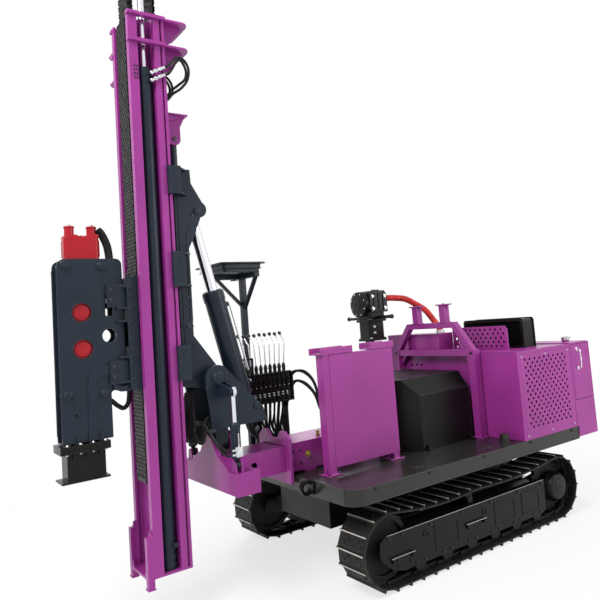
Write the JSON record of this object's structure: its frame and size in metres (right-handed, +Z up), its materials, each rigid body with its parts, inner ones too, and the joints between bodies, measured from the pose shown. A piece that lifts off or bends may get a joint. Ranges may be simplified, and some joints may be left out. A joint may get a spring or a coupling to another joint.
{
  "type": "tracked pile driver rig",
  "caption": "Low tracked chassis carrying a hydraulic hammer on a tall mast that folds back over the deck, with a sliding beam, hoist chain, engine hood and canopy.",
  "frame": {"origin": "centre of the bounding box in X and Y, on the ground under the tracks", "axes": "+X forward to the mast and hammer, +Y to the machine's left, +Z up"},
  "size_m": [5.279, 2.24, 5.7916],
  "materials": {
    "purple_paint": "gloss purple paint",
    "blue_grey_paint": "dark blue-grey paint",
    "black_paint": "black chassis paint",
    "track_steel": "black track steel",
    "red_paint": "red paint",
    "red_rubber": "red hose",
    "black_rubber": "black hose",
    "chrome": "chromed rod"
  },
  "bodies": {
    "chassis": {"left_track": "track_steel", "left_track_frame": "black_paint", "left_idler": "track_steel", "left_sprocket": "track_steel", "right_track": "track_steel", "right_track_frame": "black_paint", "right_idler": "track_steel", "right_sprocket": "track_steel", "car_body": "black_paint", "deck": "black_paint", "beam_sleeve": "purple_paint", "guard_panel": "purple_paint", "cradle_frame": "purple_paint", "fuel_tank": "black_paint", "hood_front": "purple_paint", "hood_left_grille": "purple_paint", "hood_right_grille": "purple_paint", "hood_roof": "purple_paint", "rear_module": "purple_paint", "intake_box": "purple_paint", "engine_block": "black_paint", "roof_screen": "purple_paint", "oil_cooler": "black_paint", "rotary_head": "black_paint", "red_hose": "red_rubber", "valve_console": "black_paint", "levers": "chrome", "canopy": "blue_grey_paint"},
    "side_door": {"side_door": "purple_paint"},
    "beam": {"extension_beam": "purple_paint", "cross_head": "purple_paint"},
    "left_swing_barrel": {"left_swing_cylinder": "blue_grey_paint"},
    "left_swing_ram": {"left_swing_rod": "chrome"},
    "right_swing_barrel": {"right_swing_cylinder": "blue_grey_paint"},
    "right_swing_ram": {"right_swing_rod": "chrome"},
    "swing": {"swing_bracket": "blue_grey_paint"},
    "tilt_barrel": {"tilt_cylinder": "blue_grey_paint"},
    "tilt_ram": {"tilt_rod": "chrome"},
    "mast_support": {"mast_support": "blue_grey_paint", "mast_lift_cylinder": "black_paint"},
    "mast": {"mast": "purple_paint", "mast_lift_rod": "chrome", "left_hoist_cylinder": "blue_grey_paint", "right_hoist_cylinder": "blue_grey_paint", "groove_chain": "track_steel"},
    "crosshead": {"hoist_crosshead": "chrome", "chain_sheave": "track_steel", "sheave_chain": "track_steel"},
    "hammer": {"hammer_carriage": "blue_grey_paint", "hammer_frame": "blue_grey_paint", "breaker": "red_paint", "drive_cap": "black_paint", "hammer_hoses": "black_rubber"}
  },
  "joints": [
    {"name": "side_door_hinge", "type": "hinge", "parent": "chassis", "child": "side_door", "pos_m": [-2.6227, 1.118, 1.44], "axis": [0, 0, 1], "range_deg": [0, 100]},
    {"name": "beam_slide", "type": "slide", "parent": "chassis", "child": "beam", "axis": [1, 0, 0], "range_m": [-0.33, 0.35]},
    {"name": "mast_swing", "type": "hinge", "parent": "beam", "child": "swing", "pos_m": [1.3445, 0, 1.24], "axis": [1, 0, 0], "range_deg": [-5, 5]},
    {"name": "mast_tilt", "type": "hinge", "parent": "swing", "child": "mast_support", "pos_m": [1.4295, 0, 1.805], "axis": [0, 1, 0], "range_deg": [-85, 5]},
    {"name": "mast_slide", "type": "slide", "parent": "mast_support", "child": "mast", "axis": [0, 0, 1], "range_m": [-0.15, 0.45]},
    {"name": "hammer_slide", "type": "slide", "parent": "mast", "child": "hammer", "axis": [0, 0, 1], "range_m": [-1.1, 1.6]},
    {"name": "crosshead_slide", "type": "slide", "parent": "mast", "child": "crosshead", "axis": [0, 0, 1], "range_m": [-0.56, 0.81]},
    {"name": "left_swing_barrel_hinge", "type": "hinge", "parent": "beam", "child": "left_swing_barrel", "pos_m": [1.3995, 0.44, 1.115], "axis": [1, 0, 0], "range_deg": [-4.2, 4.2]},
    {"name": "left_swing_ram_slide", "type": "slide", "parent": "left_swing_barrel", "child": "left_swing_ram", "axis": [0, 0, 1], "range_m": [-0.04, 0.04]},
    {"name": "right_swing_barrel_hinge", "type": "hinge", "parent": "beam", "child": "right_swing_barrel", "pos_m": [1.3995, -0.44, 1.115], "axis": [1, 0, 0], "range_deg": [-4.2, 4.2]},
    {"name": "right_swing_ram_slide", "type": "slide", "parent": "right_swing_barrel", "child": "right_swing_ram", "axis": [0, 0, 1], "range_m": [-0.04, 0.04]},
    {"name": "tilt_barrel_hinge", "type": "hinge", "parent": "swing", "child": "tilt_barrel", "pos_m": [1.0795, 0, 1.532], "axis": [0, 1, 0], "range_deg": [-86, 6]},
    {"name": "tilt_ram_slide", "type": "slide", "parent": "tilt_barrel", "child": "tilt_ram", "axis": [0.2334, 0, 0.9724], "range_m": [-0.63, 0.06]}
  ],
  "couplings": [
    {"joint": "crosshead_slide", "follows": "hammer_slide", "ratio": 0.5},
    {"joint": "left_swing_barrel_hinge", "follows": "mast_swing", "ratio": 0.79},
    {"joint": "left_swing_ram_slide", "follows": "mast_swing", "m_per_rad": 0.44},
    {"joint": "right_swing_barrel_hinge", "follows": "mast_swing", "ratio": 0.79},
    {"joint": "right_swing_ram_slide", "follows": "mast_swing", "m_per_rad": -0.44},
    {"joint": "tilt_barrel_hinge", "follows": "mast_tilt", "ratio": 0.9461},
    {"joint": "tilt_ram_slide", "follows": "mast_tilt", "m_per_rad": 0.3968}
  ]
}
